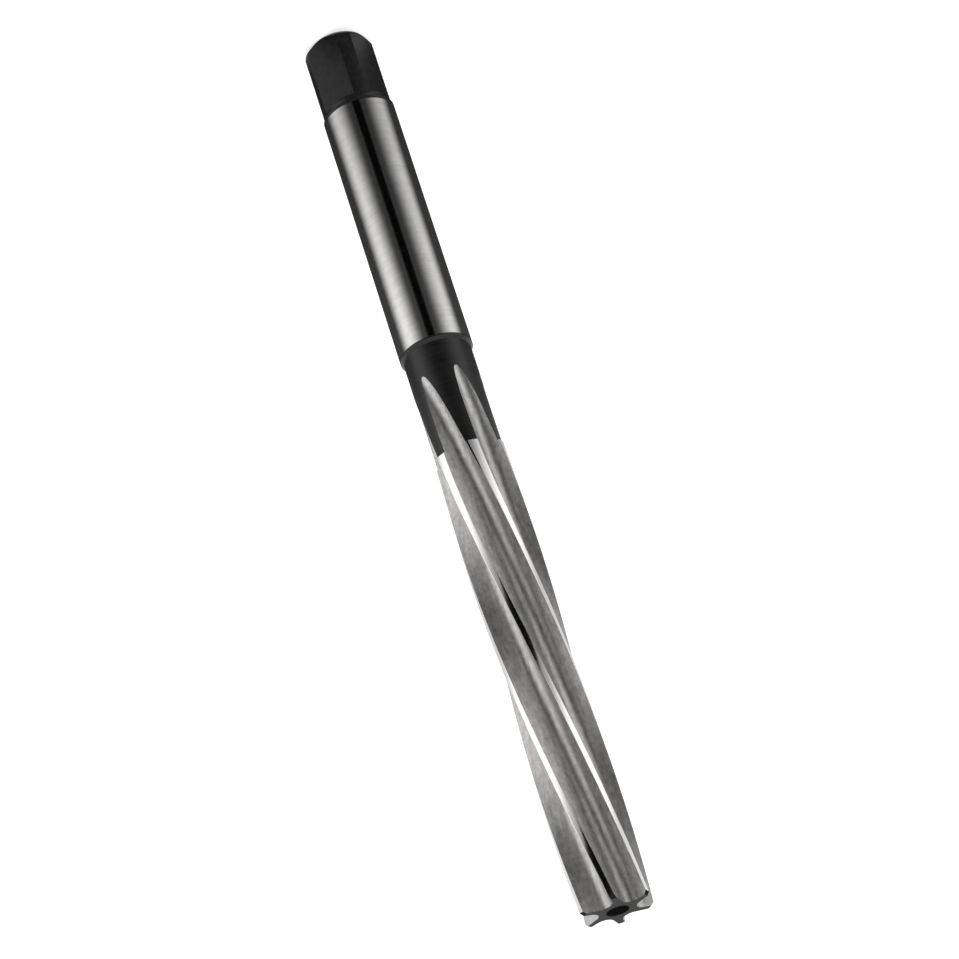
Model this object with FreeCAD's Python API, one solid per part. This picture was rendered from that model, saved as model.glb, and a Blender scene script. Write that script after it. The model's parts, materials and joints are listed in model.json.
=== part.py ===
"""Machine reamer, 10 mm, made from one bar of high-speed steel.

Frame: the origin is the centre of the drive end's face and +Z runs along the axis to the
cutting tip. The driving square's flats face X and Y. Millimetres and degrees.

From the drive end up: a driving square on a turned-down end, a ground cylindrical shank,
a slimmer neck, and six flutes on a left-hand helix that cut to the right. A form cutter
makes the flutes, and rises out of them on a long arc that ends in the neck. Each land has a
round margin, a relief behind it and a 45 degree lead. Both ends have a 60 degree centre.
"""

import FreeCAD, Part
import math
import os

# Lengths along the axis, mm.
OVERALL_LENGTH = 133.0
LAND_LENGTH = 66.0
SHANK_END = 51.35
SQUARE_LENGTH = 11.0
DRIVE_END_LENGTH = 11.3

# Diameters, mm.
CUTTING_DIAMETER = 10.0
SHANK_DIAMETER = 10.0
NECK_DIAMETER = 9.3
DRIVE_END_DIAMETER = 9.5

# Driving square and turned edges, mm.
ACROSS_FLATS = 8.0
DRIVE_END_CHAMFER = 1.0
SHANK_BACK_CHAMFER = 0.5
SHANK_FRONT_CHAMFER = 0.4
LAND_BACK_CHAMFER = 0.1
LEAD_CHAMFER = 0.45

# Teeth and flutes: mm and degrees.
TOOTH_COUNT = 6
HELIX_ANGLE = 8.4
LAND_WIDTH = 0.75
MARGIN_WIDTH = 0.25
RELIEF_ANGLE = 7.0
CORE_DIAMETER = 4.9
ROOT_RADIUS = 1.3
TIP_TOOTH_ANGLE = 2.2
FULL_DEPTH_LENGTH = 50.0
RUN_OUT_RADIUS = 173.0
LIFT_ANGLE = 17.0

# Centres, mm and degrees.
CENTRE_MOUTH_DIAMETER = 3.0
CENTRE_PILOT_DIAMETER = 1.6
CENTRE_PILOT_LENGTH = 2.0
CENTRE_ANGLE = 60.0
DRILL_POINT_ANGLE = 118.0

# How the flute's cutting tool is built. Narrow root strips keep its facets few.
SECTION_SPACING = 8.0
RUN_OUT_SECTIONS = 8
ROOT_STRIPS = 5
TOOL_OVERSHOOT = 1.5

Z_AXIS = FreeCAD.Vector(0, 0, 1)
ORIGIN = FreeCAD.Vector(0, 0, 0)

cutting_radius = CUTTING_DIAMETER / 2
shank_radius = SHANK_DIAMETER / 2
neck_radius = NECK_DIAMETER / 2
drive_end_radius = DRIVE_END_DIAMETER / 2
core_radius = CORE_DIAMETER / 2
land_start = OVERALL_LENGTH - LAND_LENGTH
run_out_start = OVERALL_LENGTH - FULL_DEPTH_LENGTH
helix_lead = math.pi * CUTTING_DIAMETER / math.tan(math.radians(HELIX_ANGLE))


def polar(radius, angle):
    """Point at a radius and an angle in degrees, in the plane across the axis."""
    return FreeCAD.Vector(radius * math.cos(math.radians(angle)), radius * math.sin(math.radians(angle)), 0)


def revolved(points):
    """Solid of revolution about Z from (radius, height) points."""
    corners = [FreeCAD.Vector(radius, 0, height) for radius, height in points]
    outline = Part.makePolygon(corners + corners[:1])
    return Part.Face(outline).revolve(ORIGIN, Z_AXIS, 360)


def blank():
    """The turned blank: drive end, shank, neck and cutting part."""
    return revolved([
        (0, 0),
        (drive_end_radius - DRIVE_END_CHAMFER, 0),
        (drive_end_radius, DRIVE_END_CHAMFER),
        (drive_end_radius, DRIVE_END_LENGTH),
        (shank_radius, DRIVE_END_LENGTH + SHANK_BACK_CHAMFER),
        (shank_radius, SHANK_END - SHANK_FRONT_CHAMFER),
        (neck_radius, SHANK_END),
        (neck_radius, land_start),
        (cutting_radius - LAND_BACK_CHAMFER, land_start),
        (cutting_radius, land_start + LAND_BACK_CHAMFER),
        (cutting_radius, OVERALL_LENGTH - LEAD_CHAMFER),
        (cutting_radius - LEAD_CHAMFER, OVERALL_LENGTH),
        (0, OVERALL_LENGTH),
    ])


def square_cutter(side):
    """What the milling cutter takes off one side of the driving square."""
    box = Part.makeBox(
        drive_end_radius, 2 * drive_end_radius, SQUARE_LENGTH + TOOL_OVERSHOOT,
        FreeCAD.Vector(ACROSS_FLATS / 2, -drive_end_radius, -TOOL_OVERSHOOT),
    )
    box.rotate(ORIGIN, Z_AXIS, 90 * side)
    return box


def centre_hole():
    """A 60 degree centre with its pilot, sunk down into a face at the origin."""
    mouth_radius = CENTRE_MOUTH_DIAMETER / 2
    pilot_radius = CENTRE_PILOT_DIAMETER / 2
    cone_depth = (mouth_radius - pilot_radius) / math.tan(math.radians(CENTRE_ANGLE / 2))
    pilot_end = cone_depth + CENTRE_PILOT_LENGTH
    point_depth = pilot_radius / math.tan(math.radians(DRILL_POINT_ANGLE / 2))
    return revolved([
        (0, TOOL_OVERSHOOT),
        (mouth_radius, TOOL_OVERSHOOT),
        (mouth_radius, 0),
        (pilot_radius, -cone_depth),
        (pilot_radius, -pilot_end),
        (0, -pilot_end - point_depth),
    ])


def flute_outline():
    """Closed wire of the flute's section, with its cutting face along +X.

    The root is an arc that touches the radial cutting face and the heel's line and whose
    floor is the core. Beyond the heel the outline takes the relief off the next land.
    """
    pitch = 360 / TOOTH_COUNT
    margin_angle = pitch - math.degrees(MARGIN_WIDTH / cutting_radius)
    relief_direction = polar(1, margin_angle - 90 - RELIEF_ANGLE)
    margin_end = polar(cutting_radius, margin_angle)
    heel = margin_end + relief_direction * (LAND_WIDTH - MARGIN_WIDTH)
    relief_exit = margin_end - relief_direction * (MARGIN_WIDTH / 2)

    root_centre = FreeCAD.Vector(math.sqrt((core_radius + ROOT_RADIUS) ** 2 - ROOT_RADIUS ** 2), ROOT_RADIUS, 0)
    to_heel = heel - root_centre
    heel_line_angle = math.degrees(math.atan2(to_heel.y, to_heel.x) - math.asin(ROOT_RADIUS / to_heel.Length))
    root_sweep = 180 - heel_line_angle

    def root_point(share):
        return root_centre + polar(ROOT_RADIUS, 270 - root_sweep * share)

    outside = cutting_radius + TOOL_OVERSHOOT
    face_outside = FreeCAD.Vector(outside, 0, 0)
    relief_outside = FreeCAD.Vector(relief_exit).normalize() * outside
    edges = [Part.makeLine(face_outside, root_point(0))]
    for strip in range(ROOT_STRIPS):
        start, middle, end = [root_point((strip + step) / ROOT_STRIPS) for step in (0, 0.5, 1)]
        edges.append(Part.Arc(start, middle, end).toShape())
    corners = [root_point(1), heel, relief_exit, relief_outside, face_outside]
    edges += [Part.makeLine(start, end) for start, end in zip(corners, corners[1:])]
    return Part.Wire(edges)


def flute_cutter():
    """The space that the form cutter sweeps for one flute, from the tip to its run-out."""
    outline = flute_outline()
    top = OVERALL_LENGTH + TOOL_OVERSHOOT
    clear_lift = neck_radius - core_radius + TOOL_OVERSHOOT / 2
    run_out = math.sqrt(RUN_OUT_RADIUS ** 2 - (RUN_OUT_RADIUS - clear_lift) ** 2)
    full_depth_steps = math.ceil((top - run_out_start) / SECTION_SPACING)
    full_depth_spacing = (top - run_out_start) / full_depth_steps
    heights = [top - full_depth_spacing * step for step in range(full_depth_steps + 1)]
    heights += [run_out_start - run_out * step / RUN_OUT_SECTIONS for step in range(1, RUN_OUT_SECTIONS + 1)]

    cutting_edge_at_tip = TIP_TOOTH_ANGLE + math.degrees(LAND_WIDTH / 2 / cutting_radius)
    sections = []
    for height in heights:
        travel = max(0, run_out_start - height)
        lift = RUN_OUT_RADIUS - math.sqrt(RUN_OUT_RADIUS ** 2 - travel ** 2)
        section = outline.copy()
        section.translate(polar(lift, LIFT_ANGLE))
        section.rotate(ORIGIN, Z_AXIS, cutting_edge_at_tip + (OVERALL_LENGTH - height) / helix_lead * 360)
        section.translate(FreeCAD.Vector(0, 0, height))
        sections.append(section)
    return Part.makeLoft(sections, True, False)


def reamer():
    """The finished reamer."""
    body = blank()
    body = body.cut([square_cutter(side) for side in range(4)])

    drive_centre = centre_hole()
    drive_centre.rotate(ORIGIN, FreeCAD.Vector(1, 0, 0), 180)
    tip_centre = centre_hole()
    tip_centre.translate(FreeCAD.Vector(0, 0, OVERALL_LENGTH))
    body = body.cut([drive_centre, tip_centre])

    first_flute = flute_cutter()
    flutes = []
    for tooth in range(TOOTH_COUNT):
        flute = first_flute.copy()
        flute.rotate(ORIGIN, Z_AXIS, 360 / TOOTH_COUNT * tooth)
        flutes.append(flute)
    return body.cut(flutes)


def main():
    os.makedirs("parts", exist_ok=True)
    shape = reamer()
    solids = shape.Solids
    print("solids", len(solids), "valid", shape.isValid(), "faces", len(shape.Faces), "volume", round(shape.Volume, 2))
    solids[0].exportStep("parts/reamer.step")


if __name__ == "__main__":
    main()
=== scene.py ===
"""Looks of a machine reamer: one turned, milled and ground piece of high-speed steel.

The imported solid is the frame. A finely faceted copy of the same form takes its place, made
the way the tool is: a turned blank, a milled driving square, two centres and the flutes,
each cut by a form cutter that follows the helix and lifts clear in the neck. Its faces then
get the finishes that the real tool shows, from black oxide to ground steel.
"""

from __future__ import annotations

import json
import logging
import math
from dataclasses import dataclass
from enum import Enum

import bpy
from mathutils import Matrix, Vector

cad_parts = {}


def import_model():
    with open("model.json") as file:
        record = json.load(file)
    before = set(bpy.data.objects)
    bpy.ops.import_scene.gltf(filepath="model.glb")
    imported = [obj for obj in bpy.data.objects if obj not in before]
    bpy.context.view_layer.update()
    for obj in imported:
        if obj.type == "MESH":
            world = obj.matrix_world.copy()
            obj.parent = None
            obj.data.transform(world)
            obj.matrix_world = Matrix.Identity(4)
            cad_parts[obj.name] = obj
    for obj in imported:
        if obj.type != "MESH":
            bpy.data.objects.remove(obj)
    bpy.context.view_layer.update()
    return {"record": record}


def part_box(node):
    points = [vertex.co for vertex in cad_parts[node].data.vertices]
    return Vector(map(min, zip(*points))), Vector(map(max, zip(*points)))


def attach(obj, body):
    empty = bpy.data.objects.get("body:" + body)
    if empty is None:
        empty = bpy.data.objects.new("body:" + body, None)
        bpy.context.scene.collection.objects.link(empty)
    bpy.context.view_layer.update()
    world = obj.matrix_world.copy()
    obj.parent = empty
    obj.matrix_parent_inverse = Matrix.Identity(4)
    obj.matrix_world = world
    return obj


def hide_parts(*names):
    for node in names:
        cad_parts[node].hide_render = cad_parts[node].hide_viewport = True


LOG = logging.getLogger("reamer")
MM = 0.001
MARK_SHARE = 0.6


# ---------------------------------------------------------------------------
# Small helpers for edit-mode work and for shader nodes
# ---------------------------------------------------------------------------


def deselect_all() -> None:
    """Leave edit mode and deselect every object."""
    if bpy.context.object and bpy.context.object.mode != "OBJECT":
        bpy.ops.object.mode_set(mode="OBJECT")
    bpy.ops.object.select_all(action="DESELECT")


def make_active(piece: bpy.types.Object) -> None:
    """Select one object alone and make it active.

    Args:
        piece: The object to work on.
    """
    deselect_all()
    piece.select_set(True)
    bpy.context.view_layer.objects.active = piece


def bake_place(piece: bpy.types.Object) -> None:
    """Move an object's place into its mesh, so that the object sits at the origin.

    Args:
        piece: The object whose transform is applied.
    """
    make_active(piece)
    bpy.ops.object.transform_apply(location=True, rotation=True, scale=True)


def cut_away(piece: bpy.types.Object, tool: bpy.types.Object) -> None:
    """Take a tool's space out of a piece, then delete the tool.

    Args:
        piece: The object that is cut.
        tool: The closed object that cuts it.
    """
    make_active(piece)
    cut = piece.modifiers.new("cut", "BOOLEAN")
    cut.operation = "DIFFERENCE"
    cut.solver = "EXACT"
    cut.object = tool
    bpy.ops.object.modifier_apply(modifier=cut.name)
    bpy.data.objects.remove(tool, do_unlink=True)


class Stations:
    """A closed form that grows ring by ring out of a filled circle, as by hand.

    The circle's rim is extruded, scaled and raised from one station to the next.
    """

    def __init__(self, name: str, segments: int, points: list[tuple[float, float]]) -> None:
        """Start from the first station's disc.

        Args:
            name: The object's name.
            segments: Corners of each ring.
            points: (radius, height) of each station, in metres.
        """
        self.points = points
        deselect_all()
        radius, height = points[0]
        bpy.ops.mesh.primitive_circle_add(
            vertices=segments, radius=radius, fill_type="NGON", location=(0, 0, height)
        )
        self.piece = bpy.context.object
        self.piece.name = name
        bake_place(self.piece)

    def grow(self) -> bpy.types.Object:
        """Extrude the disc through the other stations.

        Returns:
            The closed object.
        """
        make_active(self.piece)
        bpy.ops.object.mode_set(mode="EDIT")
        bpy.ops.mesh.select_all(action="SELECT")
        for (last_radius, last_height), (radius, height) in zip(self.points, self.points[1:]):
            bpy.ops.mesh.extrude_region_move(TRANSFORM_OT_translate={"value": (0, 0, height - last_height)})
            share = radius / last_radius
            if not math.isclose(share, 1.0):
                bpy.ops.transform.resize(value=(share, share, 1), center_override=(0, 0, height))
        bpy.ops.mesh.select_all(action="SELECT")
        bpy.ops.mesh.normals_make_consistent(inside=False)
        bpy.ops.object.mode_set(mode="OBJECT")
        return self.piece


class NodeTree:
    """A thin, typed hand for building a material's or the world's nodes."""

    def __init__(self, tree: bpy.types.NodeTree) -> None:
        """Empty the tree.

        Args:
            tree: The node tree to fill.
        """
        self.tree = tree
        tree.nodes.clear()

    def add(self, kind: str, **settings: object) -> bpy.types.Node:
        """Add a node and set its properties.

        Args:
            kind: The node's type name, without its ShaderNode prefix.
            settings: Properties of the node.

        Returns:
            The new node.
        """
        node = self.tree.nodes.new("ShaderNode" + kind)
        for name, value in settings.items():
            setattr(node, name, value)
        return node

    def wire(self, value: object, socket: bpy.types.NodeSocket) -> None:
        """Feed a socket with another socket or with a plain value.

        Args:
            value: An output socket, a number or a colour.
            socket: The input socket.
        """
        if isinstance(value, bpy.types.NodeSocket):
            self.tree.links.new(value, socket)
        else:
            socket.default_value = value

    def maths(
        self, operation: str, first: object, second: object = 0.0, third: object = 0.0
    ) -> bpy.types.NodeSocket:
        """One step of arithmetic.

        Args:
            operation: A Math node's operation.
            first: The first number or socket.
            second: The second number or socket.
            third: The third number or socket, where the operation has one.

        Returns:
            The result's socket.
        """
        node = self.add("Math", operation=operation)
        for value, socket in zip((first, second, third), node.inputs):
            self.wire(value, socket)
        return node.outputs[0]

    def noise(
        self, vector: object, scale: float, detail: float = 3.0, roughness: float = 0.5
    ) -> bpy.types.NodeSocket:
        """Fractal noise.

        Args:
            vector: The socket with its coordinates.
            scale: How many lumps there are in a unit.
            detail: Octaves.
            roughness: Weight of the finer octaves.

        Returns:
            The factor output, about 0.5 on average.
        """
        node = self.add("TexNoise")
        self.wire(vector, node.inputs["Vector"])
        node.inputs["Scale"].default_value = scale
        node.inputs["Detail"].default_value = detail
        node.inputs["Roughness"].default_value = roughness
        return node.outputs["Fac"]

    def stretched(self, vector: object, scale: tuple[float, float, float]) -> bpy.types.NodeSocket:
        """Scale coordinates.

        Args:
            vector: The socket with the coordinates.
            scale: Factor along each axis.

        Returns:
            The scaled coordinates.
        """
        node = self.add("Mapping")
        self.wire(vector, node.inputs["Vector"])
        node.inputs["Scale"].default_value = scale
        return node.outputs[0]


# ---------------------------------------------------------------------------
# Finishes
# ---------------------------------------------------------------------------


class Lay(Enum):
    """Which way a surface's machining marks run."""

    AROUND = "around the axis"
    HELIX = "along the flutes"
    CROSS = "across the flutes"
    RADIAL = "in rings about the axis, on a faced end"
    NONE = "blasted, with no direction"


@dataclass(frozen=True)
class Finish:
    """A metal finish: its colour, gloss and machining marks.

    Attributes:
        name: The material's name.
        colour: Linear base colour.
        metallic: Share of metal, 1 for bare steel.
        roughness: Mean roughness.
        roughness_swing: How far the roughness varies along the marks.
        tone_swing: How far the colour varies, as a share.
        lay: The way that the marks run.
        mark_pitch: Distance between marks, in metres.
        mark_depth: Height of the marks as bump, in metres.
        mottle_pitch: Size of the softer, cloudy variation, in metres.
        specular: Specular level of the parts that aren't metal.
    """

    name: str
    colour: tuple[float, float, float]
    metallic: float
    roughness: float
    roughness_swing: float
    tone_swing: float
    lay: Lay
    mark_pitch: float
    mark_depth: float
    mottle_pitch: float
    specular: float = 0.5

    def coordinates(self, nodes: NodeTree, helix_turn: float) -> bpy.types.NodeSocket:
        """Coordinates in which the marks are stretched along their lay.

        Args:
            nodes: The material's nodes.
            helix_turn: The flutes' turn about the axis, in radians for each metre.

        Returns:
            A vector socket, scaled so that one unit is one mark.
        """
        position = nodes.add("TexCoord").outputs["Object"]
        fine = 1.0 / self.mark_pitch
        if self.lay is Lay.NONE:
            return nodes.stretched(position, (fine, fine, fine))
        split = nodes.add("SeparateXYZ")
        nodes.wire(position, split.inputs[0])
        if self.lay is Lay.AROUND:
            return nodes.stretched(position, (fine * 0.03, fine * 0.03, fine))
        if self.lay is Lay.RADIAL:
            across = nodes.add("VectorMath", operation="LENGTH")
            flat = nodes.stretched(position, (1, 1, 0))
            nodes.wire(flat, across.inputs[0])
            rings = nodes.add("CombineXYZ")
            nodes.wire(nodes.maths("MULTIPLY", across.outputs["Value"], fine), rings.inputs[0])
            swirl = nodes.maths("MULTIPLY", split.outputs["X"], fine * 0.05)
            nodes.wire(swirl, rings.inputs[1])
            return rings.outputs[0]
        turn = nodes.maths("MULTIPLY", split.outputs["Z"], -helix_turn)
        untwist = nodes.add("VectorRotate", rotation_type="Z_AXIS")
        nodes.wire(position, untwist.inputs["Vector"])
        nodes.wire(turn, untwist.inputs["Angle"])
        if self.lay is Lay.HELIX:
            return nodes.stretched(untwist.outputs[0], (fine, fine, fine * 0.02))
        return nodes.stretched(untwist.outputs[0], (fine * 0.1, fine * 0.1, fine))

    def material(self, helix_turn: float) -> bpy.types.Material:
        """Build the finish's material.

        Args:
            helix_turn: The flutes' turn about the axis, in radians for each metre.

        Returns:
            The node material.
        """
        made = bpy.data.materials.new(self.name)
        made.use_nodes = True
        nodes = NodeTree(made.node_tree)
        marks_at = self.coordinates(nodes, helix_turn)
        marks = nodes.noise(marks_at, 1.0, detail=4.0, roughness=0.65)
        cloud_at = nodes.stretched(nodes.add("TexCoord").outputs["Object"], (1 / self.mottle_pitch,) * 3)
        clouds = nodes.noise(cloud_at, 1.0, detail=3.0)

        shader = nodes.add("BsdfPrincipled")
        shader.inputs["Metallic"].default_value = self.metallic
        shader.inputs["Specular IOR Level"].default_value = self.specular
        streaks = nodes.maths("MULTIPLY", marks, MARK_SHARE)
        tone = nodes.maths("ADD", streaks, nodes.maths("MULTIPLY", clouds, 1 - MARK_SHARE))
        level = nodes.maths("MULTIPLY_ADD", tone, 2 * self.tone_swing, 1 - self.tone_swing)
        tint = nodes.add("VectorMath", operation="SCALE")
        tint.inputs[0].default_value = self.colour
        nodes.wire(level, tint.inputs["Scale"])
        nodes.wire(tint.outputs[0], shader.inputs["Base Color"])
        smoothest = self.roughness - self.roughness_swing
        gloss = nodes.maths("MULTIPLY_ADD", tone, 2 * self.roughness_swing, smoothest)
        nodes.wire(gloss, shader.inputs["Roughness"])

        bump = nodes.add("Bump")
        bump.inputs["Strength"].default_value = 1.0
        bump.inputs["Distance"].default_value = self.mark_depth
        nodes.wire(marks, bump.inputs["Height"])
        nodes.wire(bump.outputs[0], shader.inputs["Normal"])
        output = nodes.add("OutputMaterial")
        nodes.wire(shader.outputs[0], output.inputs["Surface"])
        return made


class Region(Enum):
    """The tool's surfaces, each with its own finish, in the order of the material slots."""

    SHANK = 0
    OXIDE = 1
    NECK = 2
    FLUTE = 3
    LAND = 4
    TIP_FACE = 5
    CENTRE = 6
    LEAD = 7
    RING = 8


FINISHES: dict[Region, Finish] = {
    Region.SHANK: Finish(
        name="ground_shank",
        colour=(0.80, 0.79, 0.775),
        metallic=1.0,
        roughness=0.13,
        roughness_swing=0.05,
        tone_swing=0.30,
        lay=Lay.AROUND,
        mark_pitch=0.35 * MM,
        mark_depth=0.002 * MM,
        mottle_pitch=0.8 * MM,
    ),
    Region.OXIDE: Finish(
        name="black_oxide",
        colour=(0.022, 0.022, 0.022),
        metallic=0.0,
        roughness=0.34,
        roughness_swing=0.12,
        tone_swing=0.95,
        lay=Lay.NONE,
        mark_pitch=0.8 * MM,
        mark_depth=0.04 * MM,
        mottle_pitch=1.6 * MM,
    ),
    Region.NECK: Finish(
        name="black_oxide_turned",
        colour=(0.017, 0.017, 0.017),
        metallic=0.0,
        roughness=0.32,
        roughness_swing=0.12,
        tone_swing=0.95,
        lay=Lay.AROUND,
        mark_pitch=0.5 * MM,
        mark_depth=0.025 * MM,
        mottle_pitch=1.6 * MM,
    ),
    Region.FLUTE: Finish(
        name="ground_flute",
        colour=(0.68, 0.67, 0.655),
        metallic=1.0,
        roughness=0.50,
        roughness_swing=0.10,
        tone_swing=0.9,
        lay=Lay.HELIX,
        mark_pitch=0.5 * MM,
        mark_depth=0.035 * MM,
        mottle_pitch=0.7 * MM,
    ),
    Region.LAND: Finish(
        name="ground_land",
        colour=(0.90, 0.89, 0.88),
        metallic=1.0,
        roughness=0.15,
        roughness_swing=0.04,
        tone_swing=0.06,
        lay=Lay.CROSS,
        mark_pitch=0.5 * MM,
        mark_depth=0.002 * MM,
        mottle_pitch=2 * MM,
    ),
    Region.TIP_FACE: Finish(
        name="faced_tip",
        colour=(0.50, 0.49, 0.48),
        metallic=1.0,
        roughness=0.42,
        roughness_swing=0.05,
        tone_swing=0.12,
        lay=Lay.RADIAL,
        mark_pitch=0.2 * MM,
        mark_depth=0.002 * MM,
        mottle_pitch=2 * MM,
    ),
    # Centre holes: steel given a near-black colour, partly the oxide in the holes and partly painted shade
    # for the dark inside of the deep recesses.
    Region.CENTRE: Finish(
        name="centre_cone",
        colour=(0.05, 0.05, 0.05),
        metallic=1.0,
        roughness=0.4,
        roughness_swing=0.05,
        tone_swing=0.15,
        lay=Lay.AROUND,
        mark_pitch=0.15 * MM,
        mark_depth=0.002 * MM,
        mottle_pitch=1 * MM,
    ),
    # The oxide chamfer ring between shank and neck: lighter than the other oxide, a painted highlight for a
    # face that is turned up towards the camera. It is not wear.
    Region.RING: Finish(
        name="worn_ring",
        colour=(0.06, 0.06, 0.06),
        metallic=0.0,
        roughness=0.3,
        roughness_swing=0.06,
        tone_swing=0.5,
        lay=Lay.AROUND,
        mark_pitch=0.4 * MM,
        mark_depth=0.004 * MM,
        mottle_pitch=2 * MM,
    ),
    # Lead facets: ground steel given a dark colour, painted shade that stands in for the dark reflection
    # these facets show.
    Region.LEAD: Finish(
        name="ground_lead",
        colour=(0.14, 0.14, 0.14),
        metallic=1.0,
        roughness=0.25,
        roughness_swing=0.05,
        tone_swing=0.08,
        lay=Lay.CROSS,
        mark_pitch=0.15 * MM,
        mark_depth=0.001 * MM,
        mottle_pitch=2 * MM,
    ),
}


# ---------------------------------------------------------------------------
# The tool
# ---------------------------------------------------------------------------


@dataclass
class Flute:
    """One flute's section and the path that its form cutter takes, in metres and degrees."""

    cutting_radius: float
    neck_radius: float
    tip: float
    teeth: int = 6
    helix_angle: float = 8.4
    land_width: float = 0.75 * MM
    margin_width: float = 0.06 * MM
    relief_angle: float = 7.5
    relief_reach: float = 1.9 * MM
    relief_steps: int = 6
    core_radius: float = 2.45 * MM
    root_radius: float = 1.3 * MM
    tip_tooth_angle: float = 2.2
    full_depth_length: float = 50.0 * MM
    run_out_radius: float = 173.0 * MM
    lift_angle: float = 17.0
    overshoot: float = 1.5 * MM
    layer: float = 0.8 * MM
    root_steps: int = 26

    @property
    def turn_per_metre(self) -> float:
        """The helix's turn about the axis, in radians for each metre."""
        return math.tan(math.radians(self.helix_angle)) / self.cutting_radius

    @property
    def run_out_start(self) -> float:
        """Height at which the cutter starts to rise out of the work."""
        return self.tip - self.full_depth_length

    def outline(self) -> list[Vector]:
        """Corners of the flute's section, with the cutting face along +X.

        Returns:
            The corners in order.
        """
        heel_angle = math.radians(360 / self.teeth) - self.land_width / self.cutting_radius
        heel = self.land_point(self.land_width, heel_angle)
        reach = self.core_radius + self.root_radius
        root_centre = Vector((math.sqrt(reach**2 - self.root_radius**2), self.root_radius, 0))
        to_heel = heel - root_centre
        heel_line = math.atan2(to_heel.y, to_heel.x) - math.asin(self.root_radius / to_heel.length)
        sweep = math.pi - heel_line
        corners = [Vector((self.cutting_radius + self.overshoot, 0, 0))]
        for step in range(self.root_steps + 1):
            angle = math.radians(270) - sweep * step / self.root_steps
            corners.append(root_centre + Vector((math.cos(angle), math.sin(angle), 0)) * self.root_radius)
        way = Vector((math.cos(heel_line), math.sin(heel_line), 0))
        return corners + [heel, heel + way * self.overshoot * 2]

    def land_point(self, behind: float, angle: float) -> Vector:
        """A point on a land, which falls away behind its cutting edge.

        Args:
            behind: Distance behind the cutting edge.
            angle: The point's angle about the axis, in radians.

        Returns:
            The point in the section's plane.
        """
        drop = max(0.0, behind - self.margin_width) * math.tan(math.radians(self.relief_angle))
        return Vector((math.cos(angle), math.sin(angle), 0)) * (self.cutting_radius - drop)

    def relief_outline(self) -> list[Vector]:
        """Corners of what the relief takes off a land, with that land's cutting edge on +X.

        Returns:
            The corners in order.
        """
        backs = [
            self.margin_width + (self.relief_reach - self.margin_width) * step / self.relief_steps
            for step in range(self.relief_steps + 1)
        ]
        fall = [self.land_point(back, -back / self.cutting_radius) for back in backs]
        outside = self.cutting_radius + self.overshoot
        return fall + [fall[-1].normalized() * outside, fall[0].normalized() * outside]

    def heights(self) -> list[float]:
        """Heights of the form cutter's layers, from above the tip down to the run-out's end.

        Returns:
            Heights in metres, in falling order.
        """
        top = self.tip + self.overshoot
        steps = math.ceil((top - self.run_out_start) / self.layer)
        full_depth = [top - (top - self.run_out_start) * step / steps for step in range(steps + 1)]
        clear = self.neck_radius - self.core_radius + self.overshoot / 2
        run_out = math.sqrt(self.run_out_radius**2 - (self.run_out_radius - clear) ** 2)
        steps = math.ceil(run_out / self.layer * 2)
        return full_depth + [self.run_out_start - run_out * step / steps for step in range(1, steps + 1)]

    def lift(self, height: float) -> float:
        """How far the form cutter has risen out of the work at a height.

        Args:
            height: The layer's height in metres.

        Returns:
            The rise in metres.
        """
        travel = max(0.0, self.run_out_start - height)
        return self.run_out_radius - math.sqrt(self.run_out_radius**2 - travel**2)

    def turn(self, height: float) -> float:
        """The cutting face's angle about the axis at a height.

        Args:
            height: The layer's height in metres.

        Returns:
            The angle in radians.
        """
        edge = math.radians(self.tip_tooth_angle) + self.land_width / 2 / self.cutting_radius
        return edge + (self.tip - height) * self.turn_per_metre

    def swept(
        self, name: str, corners: list[Vector], heights: list[float], tooth: int, lifts: bool
    ) -> bpy.types.Object:
        """Extrude a section layer by layer down the helix.

        Args:
            name: The object's name.
            corners: The section's corners, with the cutting face along +X.
            heights: Heights of the layers, in falling order.
            tooth: Which tooth, counted round from the first.
            lifts: True where the cutter rises out of the work in its run-out.

        Returns:
            A closed object.
        """
        start = self.turn(heights[0]) + math.radians(360 / self.teeth * tooth)
        deselect_all()
        bpy.ops.mesh.primitive_circle_add(vertices=len(corners), radius=self.cutting_radius, fill_type="NGON")
        tool = bpy.context.object
        tool.name = name
        for vertex, corner in zip(tool.data.vertices, corners):
            vertex.co = Matrix.Rotation(start, 3, "Z") @ corner + Vector((0, 0, heights[0]))
        bpy.ops.object.mode_set(mode="EDIT")
        bpy.ops.mesh.select_all(action="SELECT")
        angle = start
        for last, height in zip(heights, heights[1:]):
            rise = self.lift(height) - self.lift(last) if lifts else 0.0
            out = angle + math.radians(self.lift_angle)
            bpy.ops.mesh.extrude_region_move(
                TRANSFORM_OT_translate={"value": (rise * math.cos(out), rise * math.sin(out), height - last)}
            )
            step = self.turn(height) - self.turn(last)
            bpy.ops.transform.rotate(value=-step, orient_axis="Z", center_override=(0, 0, height))
            angle += step
        bpy.ops.mesh.select_all(action="SELECT")
        bpy.ops.mesh.normals_make_consistent(inside=False)
        bpy.ops.object.mode_set(mode="OBJECT")
        return tool

    def cutter(self, tooth: int) -> bpy.types.Object:
        """The space that the form cutter sweeps along one flute.

        Args:
            tooth: Which flute, counted round from the first.

        Returns:
            A closed object.
        """
        return self.swept("form_cutter", self.outline(), self.heights(), tooth, lifts=True)

    def relief_wheel(self, tooth: int, land_start: float) -> bpy.types.Object:
        """The space that the relief wheel sweeps along one land.

        Args:
            tooth: Which tooth, counted round from the first.
            land_start: Height at which the lands begin.

        Returns:
            A closed object.
        """
        top = self.tip + self.overshoot
        bottom = land_start - self.overshoot
        steps = math.ceil((top - bottom) / self.layer)
        heights = [top - (top - bottom) * step / steps for step in range(steps + 1)]
        return self.swept("relief_wheel", self.relief_outline(), heights, tooth, lifts=False)


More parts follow.
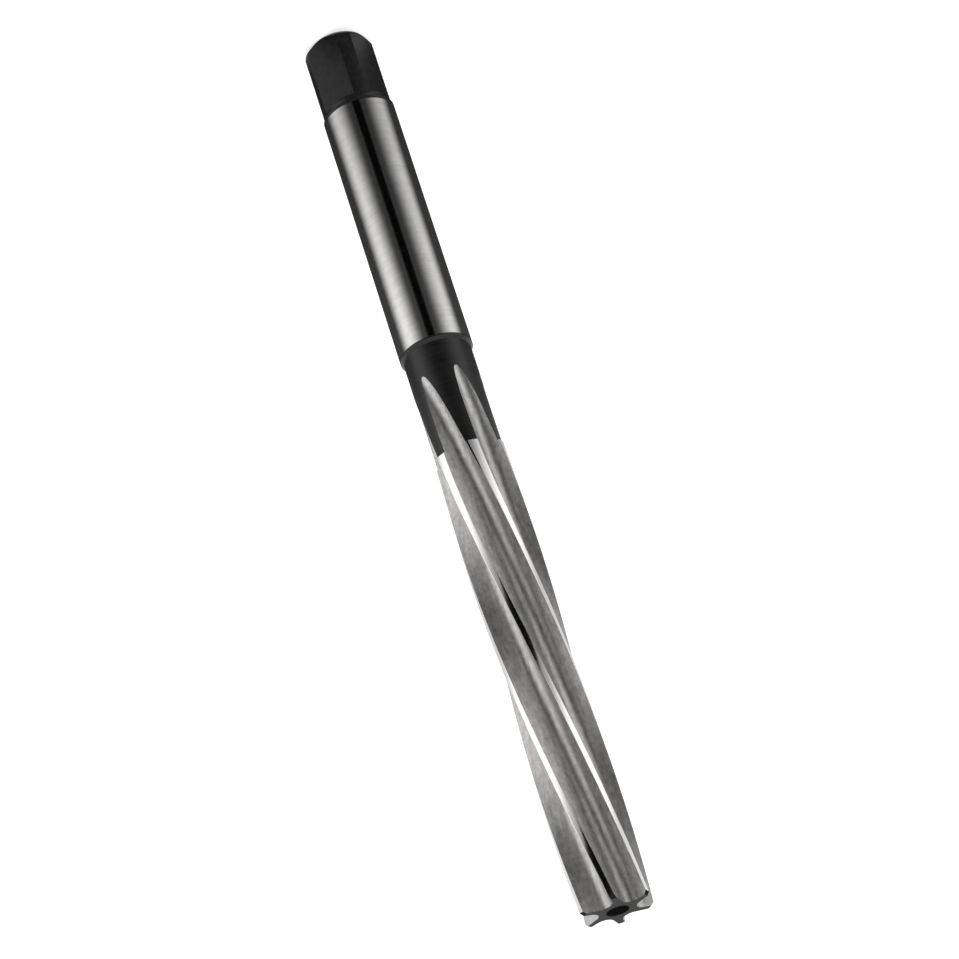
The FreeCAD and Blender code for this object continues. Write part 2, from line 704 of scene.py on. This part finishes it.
@dataclass
class ReamerBody:
    """The whole tool, in metres. Its ends and its shank come from the frame."""

    bottom: float
    tip: float
    cutting_radius: float
    shank_radius: float
    shank_start: float
    shank_end: float
    land_length: float = 66.0 * MM
    neck_radius: float = 4.65 * MM
    neck_start: float = 51.35 * MM
    drive_end_radius: float = 4.75 * MM
    drive_end_length: float = 11.3 * MM
    drive_end_chamfer: float = 1.0 * MM
    across_flats: float = 8.0 * MM
    square_length: float = 11.0 * MM
    bright_start: float = 12.35 * MM
    bright_end: float = 50.7 * MM
    lead_chamfer: float = 0.45 * MM
    land_back_chamfer: float = 0.1 * MM
    mouth_radius: float = 1.5 * MM
    pilot_radius: float = 0.8 * MM
    pilot_length: float = 2.0 * MM
    segments: int = 240
    ring_spacing: float = 3.0 * MM
    overshoot: float = 1.5 * MM
    centre_segments: int = 96
    mouth_half_angle: float = 30.0
    point_half_angle: float = 59.0
    smooth_angle: float = 6.3

    @property
    def land_start(self) -> float:
        """Height at which the lands begin."""
        return self.tip - self.land_length

    def flute(self) -> Flute:
        """The flute that this body's teeth are cut by."""
        return Flute(self.cutting_radius, self.neck_radius, self.tip)

    def stations(self) -> list[tuple[float, float]]:
        """(radius, height) of the turned blank's corners, from the drive end to the tip.

        Returns:
            The stations in rising order, with plain rings along the cutting part.
        """
        lands = self.tip - self.lead_chamfer - self.land_start - self.land_back_chamfer
        rings = round(lands / self.ring_spacing)
        first_ring = self.land_start + self.land_back_chamfer
        ring_heights = [first_ring + lands * ring / rings for ring in range(rings + 1)]
        return [
            (self.drive_end_radius - self.drive_end_chamfer, self.bottom),
            (self.drive_end_radius, self.bottom + self.drive_end_chamfer),
            (self.drive_end_radius, self.drive_end_length),
            (self.shank_radius, self.shank_start),
            (self.shank_radius, self.bright_start),
            (self.shank_radius, self.bright_end),
            (self.shank_radius, self.shank_end),
            (self.neck_radius, self.neck_start),
            (self.neck_radius, self.land_start),
            (self.cutting_radius - self.land_back_chamfer, self.land_start + 0.001 * MM),
            *[(self.cutting_radius, height) for height in ring_heights],
            (self.cutting_radius - self.lead_chamfer, self.tip),
        ]

    def flat_cutter(self, side: int) -> bpy.types.Object:
        """What the milling cutter takes off one side of the driving square.

        Args:
            side: 0 to 3, counted round from +X.

        Returns:
            A closed box.
        """
        depth = self.drive_end_radius
        deselect_all()
        bpy.ops.mesh.primitive_cube_add(size=1, location=(0, 0, 0))
        tool = bpy.context.object
        tool.scale = (depth, 2 * depth, self.square_length + self.overshoot)
        tool.location = (self.across_flats / 2 + depth / 2, 0, (self.square_length - self.overshoot) / 2)
        bake_place(tool)
        tool.rotation_euler = (0, 0, math.radians(90 * side))
        bake_place(tool)
        return tool

    def centre_cutter(self, face: float, inward: int) -> bpy.types.Object:
        """A centre drill's space: a 60 degree mouth and a pilot with a drill point.

        Args:
            face: Height of the face that it is sunk into.
            inward: 1 where the hole goes up from the face, -1 where it goes down.

        Returns:
            A closed object.
        """
        cone = (self.mouth_radius - self.pilot_radius) / math.tan(math.radians(self.mouth_half_angle))
        point = self.pilot_radius / math.tan(math.radians(self.point_half_angle))
        depths = [
            (self.mouth_radius, -self.overshoot),
            (self.mouth_radius, 0),
            (self.pilot_radius, cone),
            (self.pilot_radius, cone + self.pilot_length),
            (self.pilot_radius * 0.02, cone + self.pilot_length + point),
        ]
        points = [(radius, face + inward * depth) for radius, depth in depths]
        return Stations("centre_drill", self.centre_segments, points).grow()

    def build(self) -> bpy.types.Object:
        """Turn, mill, drill and flute the tool.

        Returns:
            The finished mesh object, with its faces sorted into regions.
        """
        body = Stations("reamer_body", self.segments, self.stations()).grow()
        for side in range(4):
            cut_away(body, self.flat_cutter(side))
        cut_away(body, self.centre_cutter(self.bottom, 1))
        cut_away(body, self.centre_cutter(self.tip, -1))
        flute = self.flute()
        for tooth in range(flute.teeth):
            cut_away(body, flute.cutter(tooth))
            cut_away(body, flute.relief_wheel(tooth, self.land_start))
        self.clean(body)
        self.sort_faces(body)
        return body

    def clean(self, body: bpy.types.Object) -> None:
        """Weld stray doubles and shade smooth up to the machined edges.

        Args:
            body: The cut object.
        """
        make_active(body)
        bpy.ops.object.mode_set(mode="EDIT")
        bpy.ops.mesh.select_all(action="SELECT")
        bpy.ops.mesh.remove_doubles(threshold=0.0005 * MM)
        bpy.ops.mesh.dissolve_degenerate(threshold=0.0002 * MM)
        bpy.ops.mesh.normals_make_consistent(inside=False)
        bpy.ops.object.mode_set(mode="OBJECT")
        bpy.ops.object.shade_smooth_by_angle(angle=math.radians(self.smooth_angle))

    def region(self, centre: Vector, normal: Vector) -> Region:
        """Which surface a face belongs to.

        Args:
            centre: The face's centre.
            normal: The face's normal.

        Returns:
            The region.
        """
        radius = math.hypot(centre.x, centre.y)
        outward = (centre.x * normal.x + centre.y * normal.y) / max(radius, 1e-9)
        hair = 0.02 * MM
        round_wall = 0.97
        tilted = 0.5
        # Faces inside the centre holes get the near-black finish, which is partly painted shade.
        if radius < self.mouth_radius and min(centre.z - self.bottom, self.tip - centre.z) > hair:
            return Region.CENTRE
        if centre.z < self.bright_start:
            return Region.OXIDE
        if centre.z < self.bright_end:
            return Region.SHANK
        if centre.z < self.neck_start:
            # The shoulder's upward-facing faces get the lighter ring finish, a painted highlight; the rest
            # stays plain oxide.
            return Region.RING if normal.z > 0.3 else Region.OXIDE
        if centre.z > self.tip - hair:
            return Region.TIP_FACE
        on_neck = radius > self.neck_radius - hair and outward > round_wall + 0.01
        if centre.z < self.land_start + self.land_back_chamfer:
            return Region.NECK if on_neck or normal.z < -tilted else Region.FLUTE
        # The lead facets get the darkened steel finish, which is painted shade.
        if centre.z > self.tip - self.lead_chamfer and normal.z > tilted:
            return Region.LEAD
        on_land = radius > self.cutting_radius - 15 * hair and outward > round_wall
        return Region.LAND if on_land else Region.FLUTE

    def sort_faces(self, body: bpy.types.Object) -> None:
        """Give each face the finish of the surface that it belongs to.

        Args:
            body: The finished mesh object.
        """
        turn = self.flute().turn_per_metre
        body.data.materials.clear()
        for region in Region:
            body.data.materials.append(FINISHES[region].material(turn))
        for face in body.data.polygons:
            face.material_index = self.region(face.center, face.normal).value


# ---------------------------------------------------------------------------
# Studio
# ---------------------------------------------------------------------------


@dataclass(frozen=True)
class Window:
    """An opening in the tent: degrees round from the camera's side, and how clear it is."""

    open_from: float
    open_to: float
    shut_from: float
    shut_to: float
    level: float


@dataclass
class Studio:
    """Camera, surround and floor. Distances are in metres and angles in degrees."""

    camera_azimuth: float = -118.7
    camera_rise: float = 26.75
    aim_height: float = 70.54 * MM
    distance: float = 508.4 * MM
    lens: float = 146.46
    tip_across: float = 0.3096
    tip_down: float = 0.9509
    aim_shift: float = 0.254 * MM
    windows: tuple[Window, Window] = (Window(18, 68, 70, 110, 0.76), Window(24, 74, 76, 108, 0.60))
    tent_leak: float = 0.04
    upper_leak: float = 0.15
    rear_glow: float = 0.20
    roof_level: float = 0.13
    flag_edges: tuple[float, float] = (7.0, 13.0)
    flag_spread: float = 7.0
    tent_start: float = 0.53
    tent_rise: float = 4.9

    def camera(self) -> None:
        """Place the camera above the tip's side, rolled so that the tip points down and right."""
        azimuth = math.radians(self.camera_azimuth)
        rise = math.radians(self.camera_rise)
        level = math.cos(rise)
        back = Vector((level * math.cos(azimuth), level * math.sin(azimuth), math.sin(rise)))
        along = (Vector((0, 0, 1)) - back * back.z).normalized()
        side = back.cross(along)
        right = self.tip_across * along + self.tip_down * side
        up = -self.tip_down * along + self.tip_across * side
        aside = (right * self.tip_down + up * self.tip_across) * self.aim_shift
        aim = Vector((0, 0, self.aim_height)) + aside
        data = bpy.data.cameras.new("camera")
        data.lens = self.lens
        data.sensor_width = 36
        data.clip_start = 0.01
        data.clip_end = 20
        holder = bpy.data.objects.new("camera", data)
        bpy.context.scene.collection.objects.link(holder)
        turned = Matrix((right, up, back)).transposed().to_4x4()
        holder.matrix_world = Matrix.Translation(aim + back * self.distance) @ turned
        bpy.context.scene.camera = holder

    def whitened(self, nodes: NodeTree, seen: float, cast: float) -> bpy.types.NodeSocket:
        """A level that is white where it is looked at and plainer where it only lights.

        Args:
            nodes: The tree to add to.
            seen: The level for camera, glossy and transmission rays.
            cast: The level for the other rays.

        Returns:
            The level's socket.
        """
        path = nodes.add("LightPath")
        looked = nodes.maths("MAXIMUM", path.outputs["Is Camera Ray"], path.outputs["Is Glossy Ray"])
        looked = nodes.maths("MAXIMUM", looked, path.outputs["Is Transmission Ray"])
        return nodes.maths("MULTIPLY_ADD", looked, seen - cast, cast)

    def surround(self) -> None:
        """A white surround at a plain light level."""
        world = bpy.data.worlds.new("surround")
        bpy.context.scene.world = world
        world.use_nodes = True
        nodes = NodeTree(world.node_tree)
        background = nodes.add("Background")
        background.inputs["Color"].default_value = (1, 1, 1, 1)
        nodes.wire(self.whitened(nodes, 1.0, 0.35), background.inputs["Strength"])
        output = nodes.add("OutputWorld")
        nodes.wire(background.outputs[0], output.inputs["Surface"])

    def floor(self, height: float) -> None:
        """A plain pale floor that keeps the tool's shadow.

        Args:
            height: The floor's height.
        """
        deselect_all()
        bpy.ops.mesh.primitive_plane_add(size=6, location=(0, 0, height))
        floor = bpy.context.object
        floor.name = "floor"
        made = bpy.data.materials.new("pale_floor")
        made.use_nodes = True
        nodes = NodeTree(made.node_tree)
        glow = nodes.add("Emission")
        nodes.wire(self.whitened(nodes, 0.78, 0.1), glow.inputs["Strength"])
        matt = nodes.add("BsdfDiffuse")
        matt.inputs["Color"].default_value = (0.5, 0.5, 0.5, 1)
        both = nodes.add("AddShader")
        nodes.wire(glow.outputs[0], both.inputs[0])
        nodes.wire(matt.outputs[0], both.inputs[1])
        output = nodes.add("OutputMaterial")
        nodes.wire(both.outputs[0], output.inputs["Surface"])
        floor.data.materials.append(made)

    def step(self, nodes: NodeTree, value: object, start: float, end: float) -> bpy.types.NodeSocket:
        """A smooth step from 0 to 1.

        Args:
            nodes: The tree to add to.
            value: The socket that is stepped.
            start: Where it leaves 0.
            end: Where it reaches 1.

        Returns:
            The step's socket.
        """
        node = nodes.add("MapRange", interpolation_type="SMOOTHSTEP")
        for socket, number in zip(node.inputs[1:5], (start, end, 0.0, 1.0)):
            socket.default_value = number
        nodes.wire(value, node.inputs[0])
        return node.outputs[0]

    def tent_material(self) -> bpy.types.Material:
        """Graduated black cloth, with an open window on each side of the camera.

        Returns:
            The node material.
        """
        made = bpy.data.materials.new("tent_cloth")
        made.use_nodes = True
        nodes = NodeTree(made.node_tree)
        split = nodes.add("SeparateXYZ")
        place = nodes.add("TexCoord").outputs["Object"]
        nodes.wire(place, split.inputs[0])
        azimuth = nodes.maths("ARCTAN2", split.outputs["Y"], split.outputs["X"])
        offset = nodes.maths("SUBTRACT", azimuth, math.radians(self.camera_azimuth))
        turned = nodes.maths("WRAP", offset, math.pi, -math.pi)
        degrees = nodes.maths("MULTIPLY", turned, 180 / math.pi)
        mirrored = nodes.maths("MULTIPLY", degrees, -1.0)

        distance = nodes.add("VectorMath", operation="LENGTH")
        nodes.wire(place, distance.inputs[0])
        away = self.step(nodes, distance.outputs["Value"], 0.105, 0.135)
        behind = self.step(nodes, nodes.maths("ABSOLUTE", degrees), 85.0, 120.0)
        glow = nodes.maths("MULTIPLY", away, behind)
        leak = nodes.maths("MULTIPLY_ADD", away, self.upper_leak, self.tent_leak)
        opened = nodes.maths("MULTIPLY_ADD", glow, self.rear_glow, leak)
        for window, side in zip(self.windows, (degrees, mirrored)):
            rise = self.step(nodes, side, window.open_from, window.open_to)
            fall = self.step(nodes, side, window.shut_to, window.shut_from)
            opened = nodes.maths("MULTIPLY_ADD", nodes.maths("MULTIPLY", rise, fall), window.level, opened)
        spread = nodes.maths("MULTIPLY", away, -self.flag_spread)
        left, right = self.flag_edges
        flag_left = self.step(nodes, nodes.maths("ADD", degrees, spread), left, left + 2.5)
        flag_right = self.step(nodes, nodes.maths("ADD", mirrored, spread), right, right + 2.5)
        opened = nodes.maths("MULTIPLY", opened, nodes.maths("MAXIMUM", flag_left, flag_right))
        gain = nodes.maths("MULTIPLY_ADD", distance.outputs["Value"], self.tent_rise, self.tent_start)
        opened = nodes.maths("MINIMUM", nodes.maths("MULTIPLY", opened, gain), 1.0)
        roof = self.step(nodes, split.outputs["Z"], 0.10, 0.18)
        opened = nodes.maths("MULTIPLY", opened, nodes.maths("SUBTRACT", 1.0, roof))
        opened = nodes.maths("MULTIPLY_ADD", roof, self.roof_level, opened)

        cloth = nodes.add("BsdfDiffuse")
        cloth.inputs["Color"].default_value = (0, 0, 0, 1)
        clear = nodes.add("BsdfTransparent")
        mix = nodes.add("MixShader")
        nodes.wire(opened, mix.inputs["Fac"])
        nodes.wire(cloth.outputs[0], mix.inputs[1])
        nodes.wire(clear.outputs[0], mix.inputs[2])
        output = nodes.add("OutputMaterial")
        nodes.wire(mix.outputs[0], output.inputs["Surface"])
        return made

    def tent(self, height: float) -> None:
        """Black cloth round the tool, seen only in its reflections, with a floor and a roof.

        Args:
            height: The floor's height.
        """
        profile = [(0.004, 0.0001), (0.25, 0.0001), (0.25, 0.45), (0.02, 0.5)]
        deselect_all()
        radius, rise = profile[0]
        bpy.ops.mesh.primitive_circle_add(
            vertices=96, radius=radius, fill_type="NOTHING", location=(0, 0, height + rise)
        )
        tent = bpy.context.object
        tent.name = "tent"
        bake_place(tent)
        bpy.ops.object.mode_set(mode="EDIT")
        bpy.ops.mesh.select_all(action="SELECT")
        for (last_radius, last_rise), (radius, rise) in zip(profile, profile[1:]):
            bpy.ops.mesh.extrude_region_move(TRANSFORM_OT_translate={"value": (0, 0, rise - last_rise)})
            share = radius / last_radius
            bpy.ops.transform.resize(value=(share, share, 1), center_override=(0, 0, height + rise))
        bpy.ops.object.mode_set(mode="OBJECT")
        tent.data.materials.append(self.tent_material())
        tent.visible_camera = False
        tent.visible_diffuse = False
        tent.visible_shadow = False
        tent.visible_transmission = False

    def lamp(self) -> None:
        """One large soft lamp overhead, for the floor and the shadow."""
        data = bpy.data.lights.new("overhead", "AREA")
        data.size = 0.8
        data.energy = 9
        data.color = (1, 1, 1)
        holder = bpy.data.objects.new("overhead", data)
        bpy.context.scene.collection.objects.link(holder)
        holder.location = (0.1, 0.1, 1.1)
        holder.visible_glossy = False


# ---------------------------------------------------------------------------
# Assembly
# ---------------------------------------------------------------------------


def shank_of(record: dict) -> tuple[float, float, float]:
    """Read the shank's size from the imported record.

    Args:
        record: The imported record.

    Returns:
        The shank's radius, start and end, in metres.
    """
    shank = next(mount for mount in record["mounts"] if mount["name"] == "shank")
    half = shank["dims"]["length_mm"] * MM / 2
    middle = shank["pos_m"][2]
    return shank["dims"]["r_mm"] * MM, middle - half, middle + half


def main() -> None:
    """Build the tool, dress it and set up the studio."""
    logging.basicConfig(level=logging.INFO, format="%(message)s")
    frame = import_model()
    low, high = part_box("reamer")

    view = bpy.context.scene.view_settings
    view.view_transform = "Standard"

    shank_radius, shank_start, shank_end = shank_of(frame["record"])
    reamer = ReamerBody(
        bottom=low.z,
        tip=high.z,
        cutting_radius=(high.x - low.x) / 2,
        shank_radius=shank_radius,
        shank_start=shank_start,
        shank_end=shank_end,
    )
    body = reamer.build()
    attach(body, "root")
    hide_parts("reamer")
    LOG.info("%s: %d faces", body.name, len(body.data.polygons))

    studio = Studio()
    studio.camera()
    studio.surround()
    studio.floor(low.z)
    studio.tent(low.z)
    studio.lamp()


if __name__ == "__main__":
    main()
